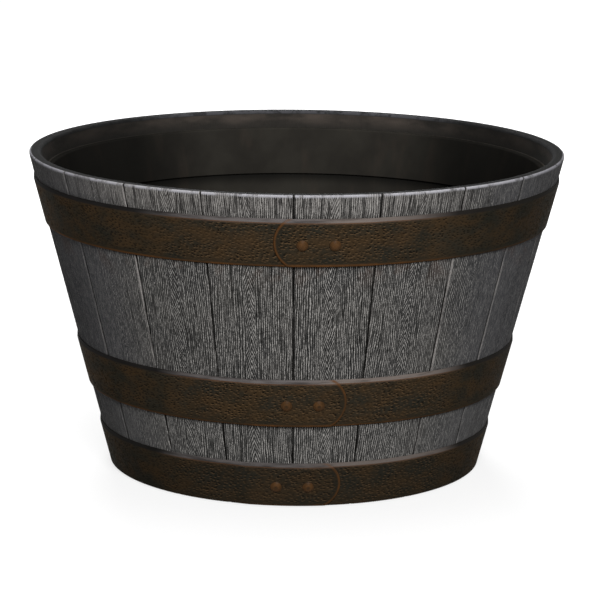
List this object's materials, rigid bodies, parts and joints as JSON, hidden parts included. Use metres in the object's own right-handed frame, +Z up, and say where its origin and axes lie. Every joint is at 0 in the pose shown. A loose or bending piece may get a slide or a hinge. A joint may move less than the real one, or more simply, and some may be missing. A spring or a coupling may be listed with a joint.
{
  "type": "half-barrel planter",
  "caption": "Tapered half-barrel planter of upright staves with three riveted hoops, a boarded head and a lift-out moulded liner with drain holes.",
  "frame": {"origin": "centre of the barrel on the floor plane", "axes": "+Z up along the barrel's axis, -Y to the front, where the hoops' riveted laps are"},
  "size_m": [0.52, 0.52, 0.31],
  "materials": {
    "stave_wood": "weathered grey boards with raised grain",
    "head_wood": "dark stained boards",
    "dowel_wood": "plain beech",
    "hoop_metal": "hammered dark bronze, worn to copper on the edges",
    "rivet_metal": "bronze, worn on the crown",
    "liner_plastic": "satin dark charcoal"
  },
  "bodies": {
    "barrel": {"stave_01": "stave_wood", "stave_02": "stave_wood", "stave_03": "stave_wood", "stave_04": "stave_wood", "stave_05": "stave_wood", "stave_06": "stave_wood", "stave_07": "stave_wood", "stave_08": "stave_wood", "stave_09": "stave_wood", "stave_10": "stave_wood", "stave_11": "stave_wood", "stave_12": "stave_wood", "stave_13": "stave_wood", "stave_14": "stave_wood", "stave_15": "stave_wood", "stave_16": "stave_wood", "stave_17": "stave_wood", "stave_18": "stave_wood", "stave_19": "stave_wood", "stave_20": "stave_wood", "head_board_1": "head_wood", "head_board_2": "head_wood", "head_board_3": "head_wood", "head_board_4": "head_wood", "head_board_5": "head_wood", "head_dowels": "dowel_wood", "hoop_top": "hoop_metal", "hoop_middle": "hoop_metal", "hoop_bottom": "hoop_metal", "rivets_top": "rivet_metal", "rivets_middle": "rivet_metal", "rivets_bottom": "rivet_metal"},
    "liner": {"liner": "liner_plastic"}
  },
  "joints": [
    {"name": "liner_lift", "type": "slide", "parent": "barrel", "child": "liner", "axis": [0, 0, 1], "range_m": [0, 0.3]}
  ]
}
